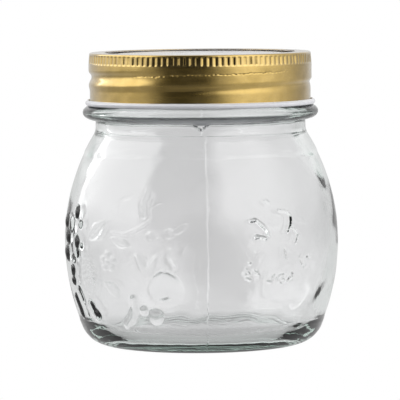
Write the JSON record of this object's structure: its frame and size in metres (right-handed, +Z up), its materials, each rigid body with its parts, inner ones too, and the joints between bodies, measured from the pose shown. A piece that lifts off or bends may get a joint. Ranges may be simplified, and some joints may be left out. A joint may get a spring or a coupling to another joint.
{
  "type": "mason jar",
  "caption": "Squat round glass preserving jar with embossed orchard reliefs, closed by a gold screw band over a lid disc with a sealing ring.",
  "frame": {"origin": "centre of the circle that the jar stands on", "axes": "+Z up along the jar's axis, -Y towards the embossed side that faces the viewer, +X to the viewer's right"},
  "size_m": [0.0826, 0.0826, 0.0878],
  "materials": {
    "pressed_glass": "clear soda-lime glass, faintly green where thick, fire-polished with a slight ripple",
    "gold_lacquer": "gold lacquer over rolled tinplate, satin gloss",
    "disc_lacquer": "gold lacquer over pressed tinplate, satin gloss, with a plain white panel printed in its middle",
    "white_lacquer": "white food-safe lacquer on the inside of the band and on its rolled hem",
    "plastisol": "matt off-white sealing compound"
  },
  "bodies": {
    "jar": {"jar_body": "pressed_glass"},
    "lid": {"lid_disc": "disc_lacquer", "sealing_ring": "plastisol"},
    "band": {"screw_band": "gold_lacquer"}
  },
  "joints": [
    {"name": "lid_lift", "type": "slide", "parent": "jar", "child": "lid", "axis": [0, 0, 1], "range_m": [0, 0.0169]},
    {"name": "band_turn", "type": "hinge", "parent": "lid", "child": "band", "pos_m": [0, 0, 0.08], "axis": [0, 0, 1], "range_deg": [0, 1440]}
  ],
  "couplings": [
    {"joint": "lid_lift", "follows": "band_turn", "m_per_rad": 0.00067163}
  ]
}
